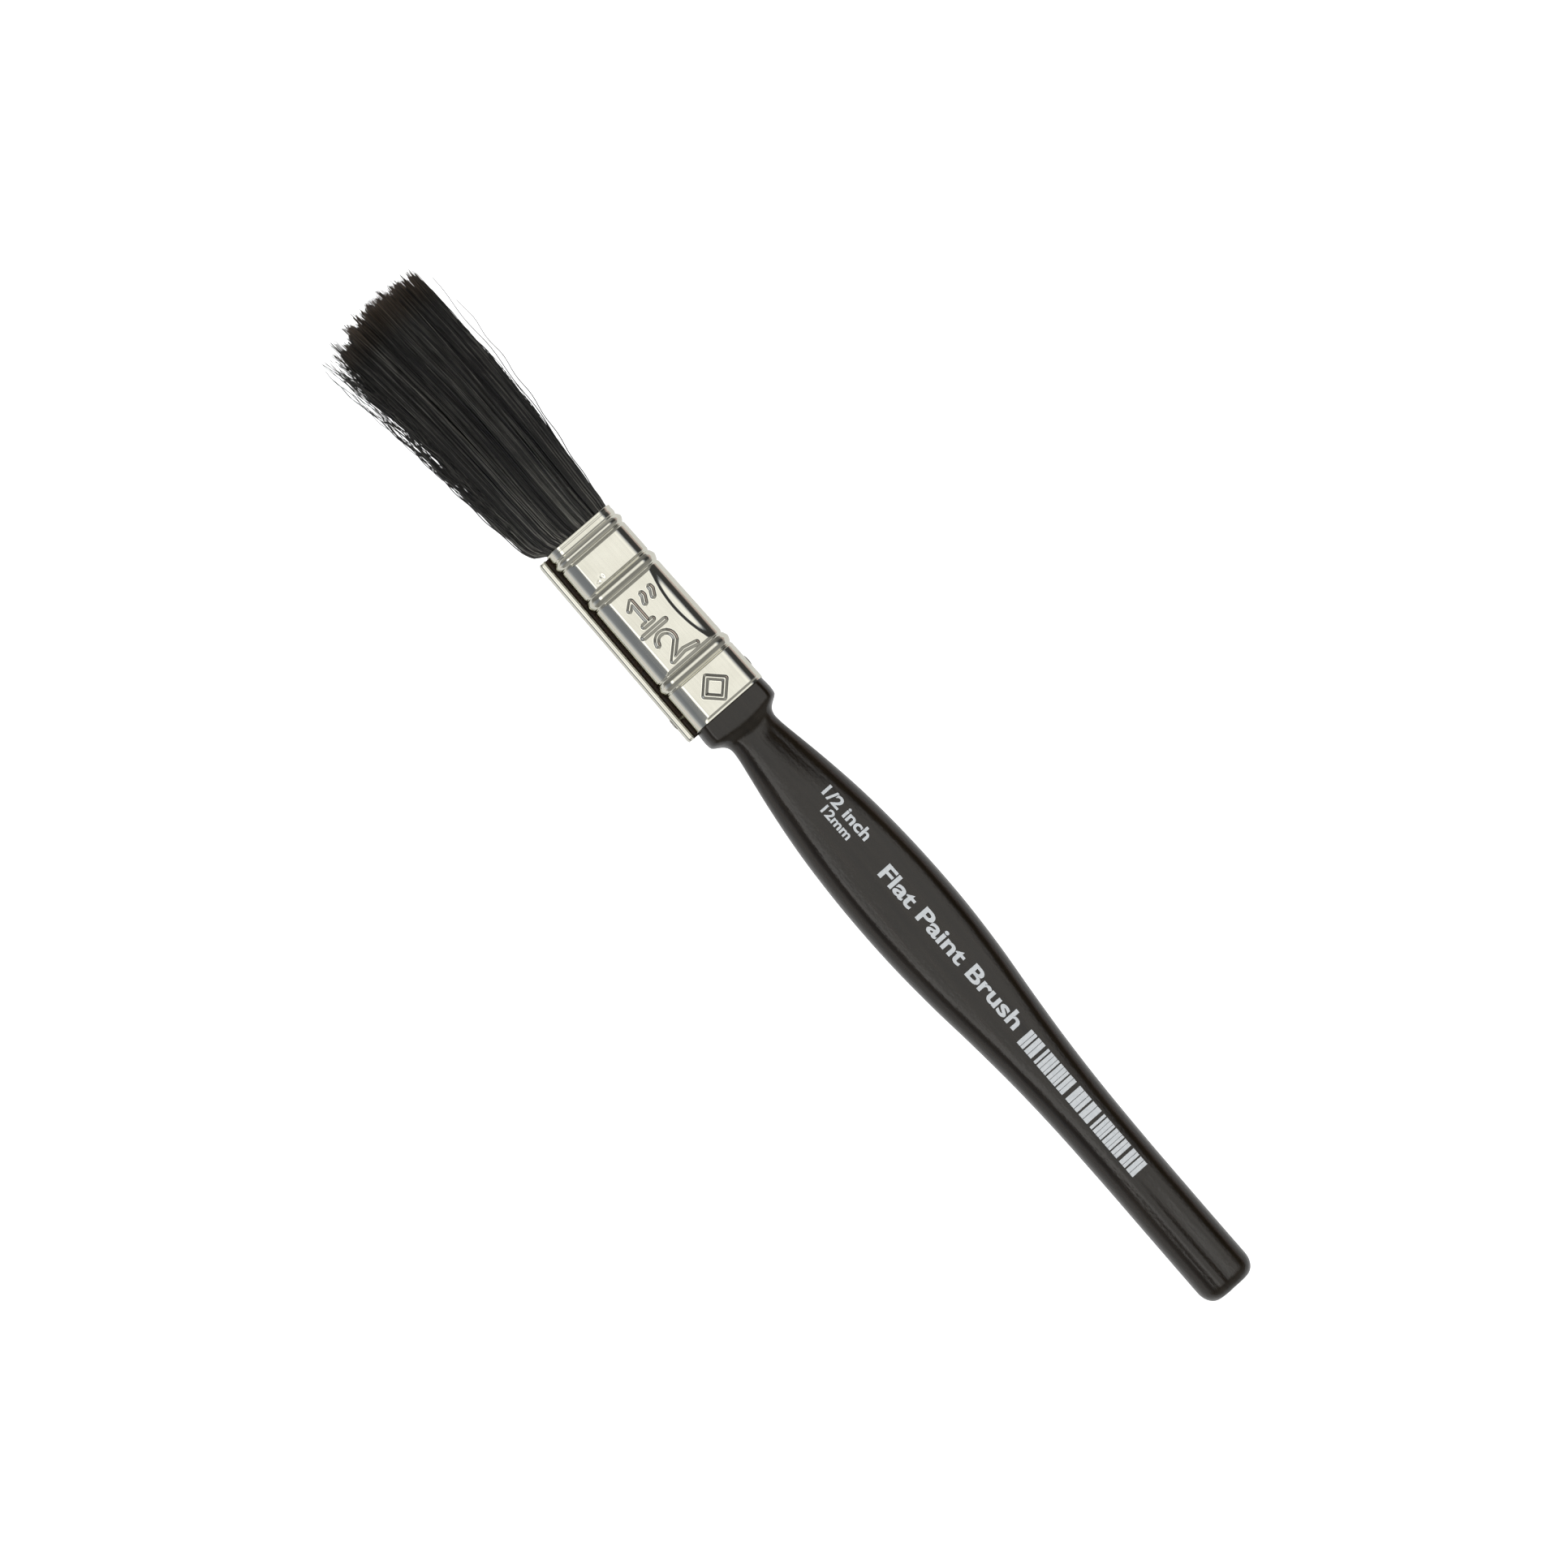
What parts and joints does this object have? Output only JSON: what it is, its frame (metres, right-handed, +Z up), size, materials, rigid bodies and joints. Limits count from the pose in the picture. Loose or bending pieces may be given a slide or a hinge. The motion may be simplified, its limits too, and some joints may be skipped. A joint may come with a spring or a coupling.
{
  "type": "flat paint brush",
  "caption": "Slim flat paint brush with a waisted beavertail handle, a beaded metal ferrule and a fanned head of springy filaments.",
  "frame": {"origin": "on the surface that the brush lies on, below the middle of its length and width", "axes": "+X along the brush to the bristle tips, +Y across it to the ferrule's seam, +Z up out of the front face"},
  "size_m": [0.2006, 0.0186, 0.008],
  "materials": {
    "lacquered_wood": "black satin lacquer",
    "plated_ferrule": "bright nickel plate on steel strip",
    "steel_brads": "bright drawn wire",
    "set_resin": "cast epoxy",
    "bare_wood": "sawn",
    "filaments": "semi-gloss black synthetic filament"
  },
  "bodies": {
    "brush_body": {"handle": "lacquered_wood", "ferrule": "plated_ferrule", "seam_side_brad": "steel_brads", "plain_side_brad": "steel_brads", "resin_set": "set_resin", "spacer": "bare_wood", "front_bristle_roots": "filaments", "back_bristle_roots": "filaments"},
    "bristle_head": {"front_bristle_head": "filaments", "back_bristle_head": "filaments"}
  },
  "joints": [
    {"name": "bristle_flex", "type": "hinge", "parent": "brush_body", "child": "bristle_head", "pos_m": [0.0571, 0, 0.004], "axis": [0, -1, 0], "range_deg": [-30, 30], "stiffness_Nm_per_rad": 0.115}
  ]
}
